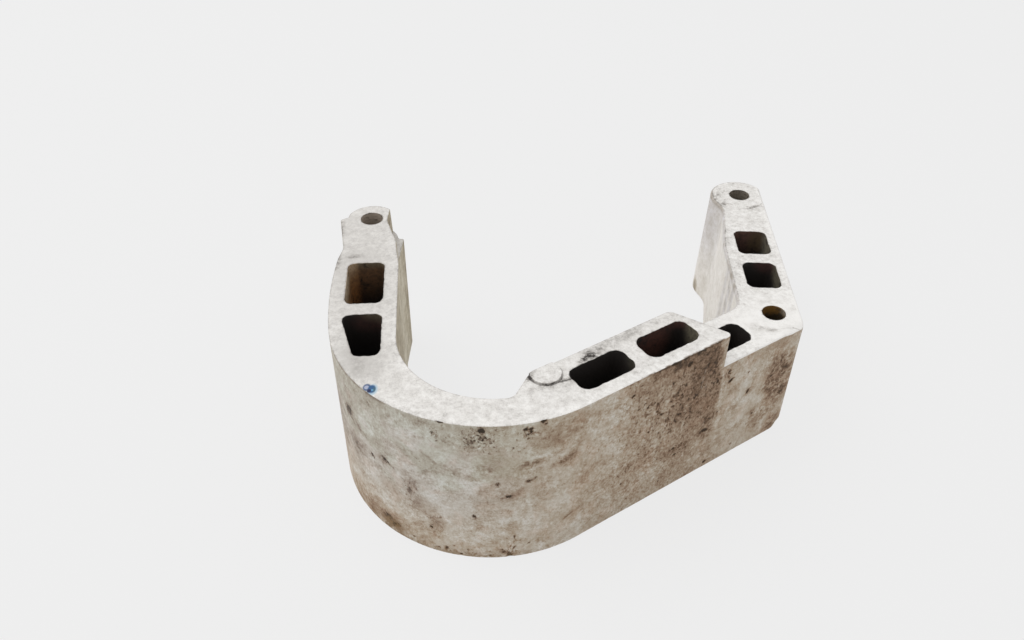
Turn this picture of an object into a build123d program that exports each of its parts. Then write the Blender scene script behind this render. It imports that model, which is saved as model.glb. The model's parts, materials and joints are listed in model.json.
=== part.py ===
"""Engine mounting bracket: a one-piece aluminium casting.

A round bend joins a short left arm to a long straight wall, and a second arm turns off the wall's
far end. Three bolt bores run down through the casting. Blind pockets lighten the thick walls.

Millimetres. +Z is up along the bores, z = 0 is the flat base, and the origin lies on the axis of
the corner bore. The straight wall has a frame of its own: "along" runs from the corner bore up the
wall, and "across" is square to it, positive towards the inside of the bracket. The left arm has
one too, at the centre of the bend's inner arc and tilted with the arm.
"""

import os
from math import acos, atan2, cos, degrees, radians, sin, sqrt, tan

from build123d import *

# Heights
height = 76.5
step_drop = 16.0
relief_drop = 12.0
pocket_floor = 7.0
pad_rise = 0.9
spot_rise = 0.4

# Bolt bores
bore_diameter = 10.5
bore_pitch = 100.0
left_bore_x = -184.8
left_bore_y = 42.7

# Straight wall
wall_angle = 36.0
wall_outer = 13.8
wall_inner = 12.2
step_along = -41.0
step_skew = 24.5
step_outer_radius = 2.0
step_inner_radius = 4.0
front_corner_radius = 4.5
inner_corner_radius = 10.8

# Bend
bend_along = -115.1
bend_outer_radius = 66.5
bend_inner_radius = 39.0
bend_web = 14.5
bend_inner_shift = 2.0
shoulder_along = -123.5
shoulder_foot_angle = -75.6
shoulder_radius = 8.0
shoulder_foot_radius = 4.5

# Left arm
arm_tilt = 7.0
arm_flank_radius = 215.0
arm_flank_top = 8.9
neck_start = 7.0
neck_end = 22.5
neck_side = 14.3
neck_start_radius = 30.0
neck_end_radius = 15.0
left_boss_radius = 11.6
rib_top = 1.6
rib_foot_radius = 1.5
rib_corner_radius = 1.0
relief_wall = 7.3
relief_turn = 42.0
relief_foot = 24.0
relief_radius = 15.0
relief_draft = 3.0
ear_reach = 14.6
ear_tip_drop = 1.7
ear_top_rise = 0.5
ear_foot_reach = 8.9
ear_foot_y = 17.5
ear_tip_radius = 1.3
ear_foot_radius = 12.0

# Right arm
arm_outer = 11.9
arm_inner = 14.7
arm_draft = 1.67
right_boss_radius = 14.8
boss_corner_radius = 5.0
spot_radius = 13.0
spot_corner_radius = 4.0
rim_radius = 1.0
waist_inner = 10.2
waist_y = 86.0
waist_start = 54.0
waist_radius = 18.0
waist_start_radius = 30.0

# Pockets
pocket_draft = 1.0
pocket_floor_radius = 2.0
wall_pocket_length = 25.8
wall_pocket_width = 13.2
wall_pocket_radius = 4.2
wall_pocket_across = -1.1
wall_pocket_start = -19.4
wall_pocket_rib = 7.3
wall_pocket_count = 3
arm_pocket_length = 19.7
arm_pocket_width = 15.6
arm_pocket_radius = 3.5
arm_pocket_x = -0.4
arm_pocket_start = 18.7
arm_pocket_rib = 7.5
arm_pocket_count = 2
left_pocket_width = 16.1
left_pocket_length = 29.2
left_pocket_wall = 6.1
left_pocket_start = 22.2
left_pocket_rib = 7.5
left_pocket_radius = 3.4
tail_pocket_length = 26.1
tail_pocket_top = 17.1
tail_pocket_foot = 10.6

# Round pad on the rim
pad_along = -118.3
pad_across = 8.7
pad_radius = 6.4

# Room that a cut takes beyond the metal it removes
past = 10.0

step_level = height - step_drop
neck_inner_x = left_bore_x + neck_side


def at_wall(along, across):
    """A point in plan, given in the straight wall's frame."""
    return (Rot(Z=wall_angle) * Pos(along, across)).position


def on_circle(centre, radius, angle):
    """The point of a circle at an angle in degrees."""
    return centre + Vector(radius, 0).rotate(Axis.Z, angle)


def arc(centre, radius, start, end):
    """An arc from one angle to another, in degrees, counter-clockwise where end is the larger."""
    return CenterArc(centre, radius, start, end - start)


bend_centre = at_wall(bend_along, bend_outer_radius - wall_outer)
inner_centre = bend_centre + Vector(bend_inner_shift, bend_web + bend_inner_radius - bend_outer_radius)
left_bore = Vector(left_bore_x, left_bore_y)
right_bore = Vector(0, bore_pitch)
arm_frame = Pos(inner_centre.X, inner_centre.Y) * Rot(Z=arm_tilt)


def at_arm(x, y):
    """A point in plan, given in the left arm's frame."""
    return (arm_frame * Pos(x, y)).position


def wall_crossing(x, across):
    """Where a face of the straight wall meets a face of the right arm at this x."""
    slope = radians(wall_angle)
    return Vector(x, (across + x * sin(slope)) / cos(slope))


def neck_point(y):
    """The point of the left arm's inner face at this y."""
    foot = at_arm(-bend_inner_radius, 0)
    return Vector(foot.X - (y - foot.Y) * tan(radians(arm_tilt)), y)


def rounded(sketch, corners):
    """Rounds the corners of a sketch. Each is a point and a radius."""
    for point, radius in corners:
        nearest = sketch.vertices().sort_by_distance(point)[0]
        sketch = fillet(nearest, radius)
    return sketch


def upper_outline():
    """The upper block seen from above, counter-clockwise from the foot of the step's skewed face."""
    step_reach = (wall_inner + wall_outer) * tan(radians(step_skew))
    step_outer = at_wall(step_along, -wall_outer)
    step_inner = at_wall(step_along - step_reach, wall_inner)
    shoulder = at_wall(shoulder_along, wall_inner)
    shoulder_foot = on_circle(inner_centre, bend_inner_radius, shoulder_foot_angle)
    neck_foot = neck_point(neck_start)
    neck_top = Vector(neck_inner_x, neck_end)

    rib_corner = Vector(neck_inner_x, left_bore_y + rib_top)
    rib_foot = left_bore + Vector(sqrt(left_boss_radius**2 - rib_top**2), rib_top)
    rib_angle = degrees(atan2(rib_top, rib_foot.X - left_bore_x))
    ear_top = left_bore + Vector(-sqrt(left_boss_radius**2 - ear_top_rise**2), ear_top_rise)
    ear_angle = degrees(atan2(ear_top_rise, ear_top.X - left_bore_x))
    ear_tip = left_bore - Vector(ear_reach, ear_tip_drop)
    ear_foot = Vector(left_bore_x - ear_foot_reach, ear_foot_y)

    spread = arm_flank_radius - bend_outer_radius
    rise = arm_flank_top - bend_centre.Y
    flank_centre = Vector(bend_centre.X + sqrt(spread**2 - rise**2), arm_flank_top)
    flank_end = 180 + degrees(atan2(rise, flank_centre.X - bend_centre.X))
    flank_top = flank_centre - Vector(arm_flank_radius, 0)
    wall_start = 270 + wall_angle

    inside = [
        Line(step_outer, step_inner),
        Line(step_inner, shoulder),
        Line(shoulder, shoulder_foot),
        arc(inner_centre, bend_inner_radius, shoulder_foot_angle, arm_tilt - 180),
        Line(at_arm(-bend_inner_radius, 0), neck_foot),
        Line(neck_foot, neck_top),
        Line(neck_top, rib_corner),
        Line(rib_corner, rib_foot),
    ]
    outside = [
        arc(left_bore, left_boss_radius, rib_angle, ear_angle),
        Line(ear_top, ear_tip),
        Line(ear_tip, ear_foot),
        Line(ear_foot, flank_top),
        arc(flank_centre, arm_flank_radius, 180, flank_end),
        arc(bend_centre, bend_outer_radius, flank_end, wall_start),
        Line(on_circle(bend_centre, bend_outer_radius, wall_start), step_outer),
    ]
    return rounded(
        make_face(Curve() + inside + outside),
        [
            (step_outer, step_outer_radius),
            (step_inner, step_inner_radius),
            (shoulder, shoulder_radius),
            (shoulder_foot, shoulder_foot_radius),
            (neck_foot, neck_start_radius),
            (neck_top, neck_end_radius),
            (rib_corner, rib_corner_radius),
            (rib_foot, rib_foot_radius),
            (ear_tip, ear_tip_radius),
            (ear_foot, ear_foot_radius),
        ],
    )


def right_arm():
    """The right arm, with its foot inside the straight wall. Drafted, but flat along its outer side."""
    waist = Vector(-waist_inner, waist_y)
    to_waist = waist - right_bore
    boss_end = degrees(atan2(to_waist.Y, to_waist.X) - acos(right_boss_radius / to_waist.length)) + 360
    waist_foot = Vector(-arm_inner, waist_start)
    foot_right = Vector(right_boss_radius, 0)
    foot_left = Vector(-arm_inner, 0)
    sides = [
        Line(foot_right, on_circle(right_bore, right_boss_radius, 0)),
        arc(right_bore, right_boss_radius, 0, boss_end),
        Line(on_circle(right_bore, right_boss_radius, boss_end), waist),
        Line(waist, waist_foot),
        Line(waist_foot, foot_left),
        Line(foot_left, foot_right),
    ]
    corners = [(waist, waist_radius), (waist_foot, waist_start_radius)]
    sketch = rounded(make_face(Curve() + sides), corners)
    arm = extrude(Pos(Z=step_level) * sketch, -step_level, taper=-arm_draft)
    arm = split(arm, bisect_by=Plane.YZ.offset(arm_outer), keep=Keep.BOTTOM)
    far_corner = Vector(arm_outer, bore_pitch + right_boss_radius, step_level / 2)
    return fillet(arm.edges().sort_by_distance(far_corner)[0], boss_corner_radius)


def lower_block():
    """The straight wall's lower end and the right arm. It runs on inside the upper block."""
    hidden_end = step_along - (wall_inner + wall_outer) * tan(radians(step_skew)) - past
    front_corner = wall_crossing(arm_outer, -wall_outer)
    corners = [
        at_wall(hidden_end, -wall_outer),
        front_corner,
        wall_crossing(arm_outer, wall_inner),
        at_wall(hidden_end, wall_inner),
    ]
    sketch = rounded(make_face(Polyline(*corners, close=True)), [(front_corner, front_corner_radius)])
    block = extrude(sketch, step_level) + right_arm()

    inner_corner = wall_crossing(-arm_inner, wall_inner)
    upright = block.edges().sort_by_distance(inner_corner + Vector(0, 0, step_level / 2))[0]
    block = fillet(upright, inner_corner_radius)
    across_wall = at_wall(hidden_end, 0) + Vector(0, 0, step_level)
    rim = block.faces().sort_by(Axis.Z)[-1].edges().sort_by_distance(across_wall)[1:]
    return fillet(rim, rim_radius)


def relief():
    """The clearance cut beside the left bore, which leaves a ledge on the arm's inner rib."""
    wall_x = left_bore_x + relief_wall
    far_y = left_bore_y + left_boss_radius + past
    turn = Vector(wall_x, relief_turn)
    foot = Vector(neck_inner_x, relief_foot)
    beyond = foot + (foot - turn).normalized() * past
    corners = [Vector(wall_x, far_y), turn, beyond, Vector(beyond.X, far_y)]
    sketch = rounded(make_face(Polyline(*corners, close=True)), [(turn, relief_radius)])
    return extrude(Pos(Z=height) * sketch, -relief_drop, taper=relief_draft)


def pocket(sketch, mouth):
    """A blind pocket: a sketch in plan, cut down from the mouth's level with drafted walls."""
    hollow = extrude(Pos(Z=mouth) * sketch, pocket_floor - mouth, taper=pocket_draft)
    hollow = fillet(hollow.faces().sort_by(Axis.Z)[0].edges(), pocket_floor_radius)
    return hollow


def wall_pockets():
    """The row along the straight wall. The one nearest the corner bore opens in the lower level."""
    shape = RectangleRounded(wall_pocket_length, wall_pocket_width, wall_pocket_radius)
    pitch = wall_pocket_length + wall_pocket_rib
    hollows = []
    for place in range(wall_pocket_count):
        along = wall_pocket_start - wall_pocket_length / 2 - place * pitch
        mouth = step_level if place == 0 else height
        hollows.append(pocket(Rot(Z=wall_angle) * Pos(along, wall_pocket_across) * shape, mouth))
    return hollows


def right_arm_pockets():
    """The row along the right arm, between its two bores."""
    shape = RectangleRounded(arm_pocket_width, arm_pocket_length, arm_pocket_radius)
    pitch = arm_pocket_length + arm_pocket_rib
    first = arm_pocket_start + arm_pocket_length / 2
    return [
        pocket(Pos(arm_pocket_x, first + place * pitch) * shape, step_level)
        for place in range(arm_pocket_count)
    ]


def left_arm_pockets():
    """A long pocket below the neck, and a second that narrows as the arm runs into the bend."""
    right = -bend_inner_radius - left_pocket_wall
    middle = Pos(right - left_pocket_width / 2, left_pocket_start + left_pocket_length / 2)
    long_shape = RectangleRounded(left_pocket_width, left_pocket_length, left_pocket_radius)

    top = left_pocket_start - left_pocket_rib
    foot = top - tail_pocket_length
    corners = [
        Vector(right, foot),
        Vector(right, top),
        Vector(right - tail_pocket_top, top),
        Vector(right - tail_pocket_foot, foot),
    ]
    tail_shape = make_face(Polyline(*corners, close=True))
    tail_shape = fillet(tail_shape.vertices(), left_pocket_radius)
    return [pocket(arm_frame * middle * long_shape, height), pocket(arm_frame * tail_shape, height)]


def bores():
    """The three bolt bores, right through."""
    drill = Cylinder(bore_diameter / 2, height + 2 * past, align=(Align.CENTER, Align.CENTER, Align.MIN))
    return [Pos(place.X, place.Y, -past) * drill for place in (Vector(), right_bore, left_bore)]


def pad():
    """The low round pad on the rim, cut off where it overhangs the inner face."""
    place = at_wall(pad_along, pad_across)
    disc = (Pos(place.X, place.Y) * Circle(pad_radius)) & upper_outline()
    return extrude(Pos(Z=step_level) * disc, step_drop + pad_rise)


def spot_face():
    """The low machined face round the right bore, cut off short of the arm's rounded rim."""
    disc = Pos(0, bore_pitch, step_level) * Circle(spot_radius)
    disc = split(disc, bisect_by=Plane.YZ.offset(arm_outer - rim_radius), keep=Keep.BOTTOM)
    far_corner = Vector(arm_outer, bore_pitch + spot_radius, step_level)
    disc = rounded(disc, [(far_corner, spot_corner_radius)])
    return extrude(disc, spot_rise)


def bracket_casting():
    """The whole casting."""
    body = extrude(upper_outline(), height) + lower_block()
    body += pad() + spot_face()
    body -= relief()
    for hollow in wall_pockets() + right_arm_pockets() + left_arm_pockets() + bores():
        body -= hollow
    return body


os.makedirs("parts", exist_ok=True)
export_step(bracket_casting(), "parts/bracket_casting.step")
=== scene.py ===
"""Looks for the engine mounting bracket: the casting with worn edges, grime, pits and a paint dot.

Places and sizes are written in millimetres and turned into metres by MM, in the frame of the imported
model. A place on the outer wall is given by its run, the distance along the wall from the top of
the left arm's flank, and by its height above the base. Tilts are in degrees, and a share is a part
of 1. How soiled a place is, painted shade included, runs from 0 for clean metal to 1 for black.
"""

import json
from math import atan2, cos, pi, radians, sin, sqrt, tan

import bmesh
import bpy
import numpy as np
from mathutils import Matrix, Vector, noise
from mathutils.kdtree import KDTree

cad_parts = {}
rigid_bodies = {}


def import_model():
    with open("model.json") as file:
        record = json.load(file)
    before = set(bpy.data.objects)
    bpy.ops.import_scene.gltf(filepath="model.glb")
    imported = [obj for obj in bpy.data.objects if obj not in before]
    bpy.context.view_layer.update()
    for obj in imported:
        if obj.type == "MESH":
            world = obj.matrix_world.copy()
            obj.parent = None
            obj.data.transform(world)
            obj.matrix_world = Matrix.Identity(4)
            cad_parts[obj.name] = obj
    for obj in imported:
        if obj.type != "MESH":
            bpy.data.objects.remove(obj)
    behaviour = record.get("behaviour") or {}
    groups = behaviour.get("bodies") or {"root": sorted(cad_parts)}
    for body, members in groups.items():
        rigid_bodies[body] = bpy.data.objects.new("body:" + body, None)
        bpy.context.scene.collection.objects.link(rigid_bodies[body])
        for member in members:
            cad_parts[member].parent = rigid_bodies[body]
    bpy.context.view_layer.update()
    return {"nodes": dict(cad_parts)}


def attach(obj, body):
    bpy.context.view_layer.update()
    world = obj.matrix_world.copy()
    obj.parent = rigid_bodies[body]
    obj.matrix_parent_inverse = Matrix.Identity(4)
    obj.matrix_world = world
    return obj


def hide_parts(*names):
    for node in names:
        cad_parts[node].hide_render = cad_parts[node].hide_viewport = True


for startup in list(bpy.data.objects):
    bpy.data.objects.remove(startup)
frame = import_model()

MM = 0.001
# The heights of the upper block and of the lower level, and where the step between them lies
TOP = 76.5
STEP = 60.5
STEP_X = -28.0
# The casting's reach in x and in y, and its bores and pad
PLAN = ((-200, 12), (-92, 117))
BORES = ((0.0, 0.0), (0.0, 100.0), (-184.8, 42.7))
BORE_RADIUS = 5.25
PAD_PLACE = (-100.82, -62.5, 0.0)
PAD_RADIUS = 6.4

# The outer wall's course in plan
WALL_ANGLE = radians(36)
WALL_OUTER = 13.8
BEND_ALONG = -115.1
BEND_RADIUS = 66.5
FLANK_RADIUS = 215.0
FLANK_TOP = 8.9
LEFT_END = (-196.5, 54.0)
ARM_OUTER = 11.9
ARM_END = 116.0
CORNER_RADIUS = 4.5
CORNER_RUN = 300.0

# How fine the walls and faces are cut, and how far their edges are rubbed round
FINE = 0.7
FACE_CUT = 0.9
COARSE = 3.0
FLANK_CUT = FINE * 1.6
EDGE_WEAR = 0.3

OUTER, INNER, POCKET, BORE, BASE, FACE = range(6)
Z = 2


# ---- the outer wall's run and height

def at_wall(along, across):
    """A point in plan from the straight wall's own frame, along it and across it from the bore."""
    return np.array(Matrix.Rotation(WALL_ANGLE, 2) @ Vector((along, across)))


def on_arc(centre, radius, start, end, pitch=0.25):
    """Points along an arc from one angle to another, in radians."""
    count = max(2, int(abs(end - start) * radius / pitch))
    angles = np.linspace(start, end, count)
    return centre + radius * np.stack([np.cos(angles), np.sin(angles)], 1)


def on_line(start, end, pitch=0.25):
    """Points along a straight stretch."""
    start, end = np.array(start, float), np.array(end, float)
    count = max(2, int(np.linalg.norm(end - start) / pitch))
    return start + (end - start) * np.linspace(0, 1, count)[:, None]


BEND_CENTRE = at_wall(BEND_ALONG, BEND_RADIUS - WALL_OUTER)
FLANK_RISE = FLANK_TOP - BEND_CENTRE[1]
FLANK_REACH = sqrt((FLANK_RADIUS - BEND_RADIUS) ** 2 - FLANK_RISE**2)
FLANK_CENTRE = np.array([BEND_CENTRE[0] + FLANK_REACH, FLANK_TOP])
FLANK_END = pi + atan2(FLANK_RISE, FLANK_REACH)
BEND_END = 1.5 * pi + WALL_ANGLE
FLANK_RUN = FLANK_RADIUS * (FLANK_END - pi)
BEND_RUN = FLANK_RUN + BEND_RADIUS * (BEND_END - FLANK_END)


def wall_course():
    """Points along the outer wall in plan, and the run of each."""
    corner = np.array([ARM_OUTER, (ARM_OUTER * sin(WALL_ANGLE) - WALL_OUTER) / cos(WALL_ANGLE)])
    setback = CORNER_RADIUS * tan((pi / 2 - WALL_ANGLE) / 2)
    rounding = corner + np.array([-CORNER_RADIUS, setback])
    flank_top = FLANK_CENTRE - np.array([FLANK_RADIUS, 0])
    wall_end = rounding + CORNER_RADIUS * np.array([sin(WALL_ANGLE), -cos(WALL_ANGLE)])
    stretches = [
        on_line(LEFT_END, flank_top),
        on_arc(FLANK_CENTRE, FLANK_RADIUS, pi, FLANK_END),
        on_arc(BEND_CENTRE, BEND_RADIUS, FLANK_END, BEND_END),
        on_line(at_wall(BEND_ALONG, -WALL_OUTER), wall_end),
        on_arc(rounding, CORNER_RADIUS, BEND_END, 2 * pi),
        on_line((ARM_OUTER, rounding[1]), (ARM_OUTER, ARM_END)),
    ]
    points = np.concatenate(stretches)
    run = np.r_[0, np.cumsum(np.linalg.norm(np.diff(points, axis=0), axis=1))]
    return points, run - run[len(stretches[0])]


def nearest_of(points, places):
    """For each place, which of the points is nearest and how far away it is."""
    tree = KDTree(len(points))
    for index, point in enumerate(points):
        tree.insert(point, index)
    tree.balance()
    found = [tree.find(place) for place in places]
    return np.array([index for _, index, _ in found]), np.array([gap for _, _, gap in found])


def wall_place(plan):
    """Each plan point's run along the outer wall, its distance inwards, and the heading there."""
    points, runs = wall_course()
    heading = np.gradient(points, axis=0)
    heading /= np.linalg.norm(heading, axis=1)[:, None]
    flat = [np.c_[spots, np.zeros(len(spots))] for spots in (points, plan)]
    nearest = nearest_of(*flat)[0]
    off, ahead = plan - points[nearest], heading[nearest]
    run = runs[nearest] + (off * ahead).sum(1)
    return run, ahead[:, 0] * off[:, 1] - ahead[:, 1] * off[:, 0], ahead


# ---- the casting's mesh

# What tells the regions apart: how far up a normal points, how level a machined face is, how near
# the wall's course its rim and facets are, and how low the pockets' floors are
FACES_UP, SLOPES = 0.9, 0.25
HAIR = 0.1
LEVEL_WITHIN = 1.0
RIM_WITHIN = 1.5
WALL_WITHIN = 1.0
POCKET_FLOOR = 20.0
# The turns between faces that a pocket's skin flows over, that are worn, and that are shaded sharp
POCKET_TURN, WORN_TURN, SHARP_TURN = radians(35), radians(40), radians(38)
# Where the straight wall's cuts end, how far two stretches' cuts lap, and how far past the front
# corner the height is cut
WALL_CUTS_END = 9.0
LAP = 2
PAST_CORNER = 3


def region_of(face, inward):
    """A face's region by the way it faces and what it is near. Pockets are told apart later."""
    heights = [vert.co.z / MM for vert in face.verts]
    on_top = min(heights) > STEP - HAIR and max(heights) - min(heights) < LEVEL_WITHIN
    if face.normal.z < -FACES_UP:
        return BASE
    if on_top or (face.normal.z > SLOPES and abs(inward) < RIM_WITHIN):
        return FACE
    for bore in BORES:
        reach = max((vert.co.xy / MM - Vector(bore)).length for vert in face.verts)
        if reach < BORE_RADIUS + HAIR:
            return BORE
    return OUTER if abs(inward) < WALL_WITHIN else INNER


def mark_regions(cast):
    """Gives each face its region."""
    middles = np.array([face.calc_center_median()[:2] for face in cast.faces]) / MM
    for face, inward in zip(cast.faces, wall_place(middles)[1]):
        face.material_index = region_of(face, inward)
    reached = [face for face in cast.faces
               if face.normal.z > FACES_UP and face.calc_center_median().z < POCKET_FLOOR * MM]
    while reached:
        face = reached.pop()
        face.material_index = POCKET
        for edge in face.edges:
            flows = edge.is_manifold and edge.calc_face_angle(0) < POCKET_TURN
            for other in edge.link_faces:
                if flows and other.material_index in (OUTER, INNER):
                    other.material_index = POCKET
                    reached.append(other)


def cut(cast, faces, planes):
    """Cuts faces by a row of planes, the middle one first, so that each cut meets few faces."""
    if not planes or not faces:
        return
    middle = len(planes) // 2
    point, normal = planes[middle]
    edges = dict.fromkeys(edge for face in faces for edge in face.edges)
    verts = dict.fromkeys(vert for edge in edges for vert in edge.verts)
    parts = [*faces, *edges, *verts]
    result = bmesh.ops.bisect_plane(cast, geom=parts, plane_co=point, plane_no=normal, dist=1e-7)
    before, beyond = [], []
    for part in result["geom"]:
        if isinstance(part, bmesh.types.BMFace):
            side = (part.calc_center_median() - point).dot(normal)
            (beyond if side > 0 else before).append(part)
    cut(cast, before, planes[:middle])
    cut(cast, beyond, planes[middle + 1:])


def level_planes(low, high, pitch, axis):
    """A row of planes square to one axis."""
    count = max(1, round((high - low) / pitch))
    normal = Vector([float(axis == index) for index in range(3)])
    return [(normal * place * MM, normal) for place in np.linspace(low, high, count + 1)[1:-1]]


def radial_planes(centre, radius, start, end, pitch):
    """A row of upright planes through an arc's centre, one for each pitch along the arc."""
    count = max(1, round(radius * (end - start) / pitch))
    middle = Vector((*centre, 0)) * MM
    angles = np.linspace(start, end, count + 1)
    return [(middle, Vector((-sin(angle), cos(angle), 0))) for angle in angles]


def faces_in(cast, regions, low=-1e9, high=1e9):
    """The faces in some regions whose middles have a run between low and high."""
    faces = [face for face in cast.faces if face.material_index in regions]
    run = wall_place(np.array([face.calc_center_median()[:2] for face in faces]) / MM)[0]
    return [face for face, place in zip(faces, run) if low <= place <= high]


def wide_faces(cast, regions):
    """The faces in some regions with an edge well over the coarse cut."""
    longest = 1.2 * COARSE * MM
    return [face for face in cast.faces if face.material_index in regions
            and max(edge.calc_length() for edge in face.edges) > longest]


def cut_regions(cast):
    """Cuts the outer wall along its run and its height, and the other regions on plain grids."""
    wall_normal = Vector((cos(WALL_ANGLE), sin(WALL_ANGLE), 0))
    wall_steps = np.arange(BEND_ALONG, WALL_CUTS_END, FINE)
    wall_planes = [(wall_normal * along * MM, wall_normal) for along in wall_steps]
    flank = radial_planes(FLANK_CENTRE, FLANK_RADIUS, pi, FLANK_END, FLANK_CUT)
    bend = radial_planes(BEND_CENTRE, BEND_RADIUS, FLANK_END, BEND_END, FINE)
    levels = level_planes(0, TOP, FINE, Z)
    for low, high, planes in (
        (0, FLANK_RUN + LAP / 2, flank),
        (FLANK_RUN - LAP, BEND_RUN + LAP, bend),
        (BEND_RUN - LAP, CORNER_RUN, wall_planes),
        (LAP, CORNER_RUN + PAST_CORNER, levels),
    ):
        cut(cast, faces_in(cast, (OUTER,), low, high), planes)
    cut(cast, wide_faces(cast, (OUTER, INNER, POCKET)), level_planes(0, TOP, COARSE, Z))
    for axis, reach in enumerate(PLAN):
        cut(cast, wide_faces(cast, (OUTER, INNER)), level_planes(*reach, COARSE, axis))
    for axis, reach in enumerate(PLAN):
        cut(cast, faces_in(cast, (FACE,)), level_planes(*reach, FACE_CUT, axis))


def worn_edges(cast):
    """The casting's outward edges, which are rubbed round."""
    return [
        edge for edge in cast.edges
        if edge.is_manifold and edge.is_convex and edge.calc_face_angle(0) > WORN_TURN
        and not any(face.material_index == BORE for face in edge.link_faces)
    ]


# ---- what the casting carries

def smooth(low, high, value):
    """A soft step from 0 at low to 1 at high. Where high is the lower, it falls instead."""
    share = np.clip((value - low) / (high - low), 0, 1)
    return share * share * (3 - 2 * share)


def within(value, low, full, past, high):
    """1 from full to past, falling softly to 0 at low and at high."""
    return smooth(low, full, value) * smooth(high, past, value)


def reach_out(first, second, place, reach, tilt):
    """How far out each point lies on a tilted oval about a place: 1 is on the oval."""
    along, up = first - place[0], second - place[1]
    turned = radians(tilt)
    across = (along * cos(turned) + up * sin(turned)) / reach[0]
    rise = (up * cos(turned) - along * sin(turned)) / reach[1]
    return np.hypot(across, rise)


def soiling(first, second, rows, soft=0.7):
    """The sum of soft-edged ovals, each a row of place, half sizes, tilt and share."""
    return sum(
        share * smooth(1 + soft, 1 - soft, reach_out(first, second, (one, two), (long, tall), tilt))
        for one, two, long, tall, tilt, share in rows
    )


# Pits and dents that stand out on the wall: run, height, half length, half height, tilt, depth
DENTS = (
    (139.5, 74, 1.1, 1.3, 0, 0.5), (138.2, 71.6, 0.8, 0.6, 0, 0.25), (124, 76.3, 1.6, 0.8, 0, 0.4),
    (162.5, 76, 1.4, 1.1, 0, 0.5), (163.5, 74.2, 0.8, 0.8, 0, 0.3),
    (155.5, 73.2, 1.3, 1.1, 20, 0.35), (158, 72.9, 1.3, 1, 0, 0.3), (134.5, 66.5, 0.7, 0.6, 0, 0.3),
    (137, 68.9, 0.7, 0.6, 30, 0.25), (141, 70.4, 0.7, 0.7, 0, 0.25),
    (142.8, 67.6, 0.8, 0.8, 0, 0.3), (138.5, 65.6, 0.9, 0.6, 0, 0.25),
    (151, 64.3, 0.9, 0.7, -40, 0.3), (153.3, 62.2, 0.9, 0.6, -40, 0.3),
    (156.8, 68.5, 0.8, 0.8, 0, 0.3), (121, 70, 0.8, 0.6, 0, 0.25), (122.5, 66, 0.7, 0.7, 0, 0.25),
    (98.3, 43.1, 3.4, 1, -31, 0.28), (101.8, 41, 1, 0.9, -40, 0.2),
    (90.1, 40.5, 2.2, 0.9, -52, 0.32), (145.3, 44.8, 1.2, 1.5, 0, 0.3),
    (157.3, 44.9, 1.7, 1.3, -30, 0.25), (159.6, 46.2, 1.5, 1, 25, 0.2),
    (149.4, 37.6, 1.4, 1.1, 0, 0.22), (136, 25.5, 0.8, 1.6, 15, 0.4), (107, 29, 0.8, 0.8, 0, 0.25),
    (122, 22, 0.7, 1.4, 0, 0.25), (117.5, 14.5, 1, 1.2, 0, 0.3), (118.8, 11.5, 0.7, 0.8, 0, 0.25),
    (100.3, 5.4, 1.9, 1.1, 20, 0.4), (124, 3.2, 0.9, 1.5, 0, 0.35), (120.5, 2, 0.8, 1, 0, 0.3),
    (130, 0.9, 1, 0.8, 0, 0.3), (147.5, 2.9, 1.1, 1.1, 0, 0.35), (150, 0.8, 1.2, 1.4, 0, 0.5),
    (152, 12.5, 0.6, 1.6, 0, 0.3), (151.8, 5.6, 0.8, 1.2, -30, 0.3), (158, 7, 1, 0.6, 30, 0.25),
    (207, 59.5, 0.9, 0.8, 0, 0.3), (210, 61, 0.8, 0.7, 0, 0.3), (211.5, 58, 0.8, 0.9, 0, 0.3),
    (203.2, 68.7, 1.5, 0.9, 20, 0.3), (232, 71.4, 1.6, 1.2, 0, 0.4), (223, 75.6, 1.8, 0.9, 0, 0.4),
    (243, 66, 0.9, 1.2, 0, 0.3), (220, 50, 1.1, 0.8, 0, 0.3), (217, 53, 0.8, 0.8, 0, 0.3),
    (214, 43, 0.8, 0.9, 0, 0.3), (220, 39, 0.9, 1.1, 0, 0.3), (230, 44.5, 1, 0.8, 0, 0.3),
    (228, 56, 1, 0.8, 0, 0.3), (240, 46, 0.8, 0.8, 0, 0.3), (247.6, 25, 2.1, 1.2, -15, 0.5),
    (250.5, 52.6, 1, 1.3, 0, 0.35), (256.7, 54.8, 1, 2.1, -15, 0.3), (258.7, 49, 2.1, 1, 25, 0.4),
    (254, 33, 0.9, 0.7, 0, 0.25), (230, 24, 1, 0.8, 0, 0.3), (232, 19.5, 1.9, 0.6, 0, 0.3),
    (202, 19, 0.7, 1, 0, 0.25), (252, 2.6, 1.3, 0.9, 0, 0.4), (268, 5, 1, 0.8, 0, 0.3),
    (278, 19, 0.7, 1, 0, 0.25), (224, 7, 0.7, 0.7, 0, 0.25), (206, 7, 0.8, 0.7, 0, 0.25),
    (271.6, 36.1, 1.2, 2, 0, 0.28), (136, 2, 0.8, 0.7, 0, 0.25), (142, 1.4, 0.9, 0.7, 0, 0.25),
    (114, 3, 0.8, 0.6, 0, 0.25), (269.1, 34, 0.8, 0.7, 0, 0.2), (269.4, 48.6, 0.9, 0.8, 0, 0.25),
    (284.4, 17.3, 0.8, 0.8, 0, 0.25), (275.8, 13.7, 0.7, 1, 0, 0.2), (127, 5.5, 0.7, 0.8, 0, 0.25),
    (133, 4.5, 0.7, 0.6, 0, 0.25), (109, 3.5, 0.9, 0.7, 0, 0.3),
)

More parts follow.
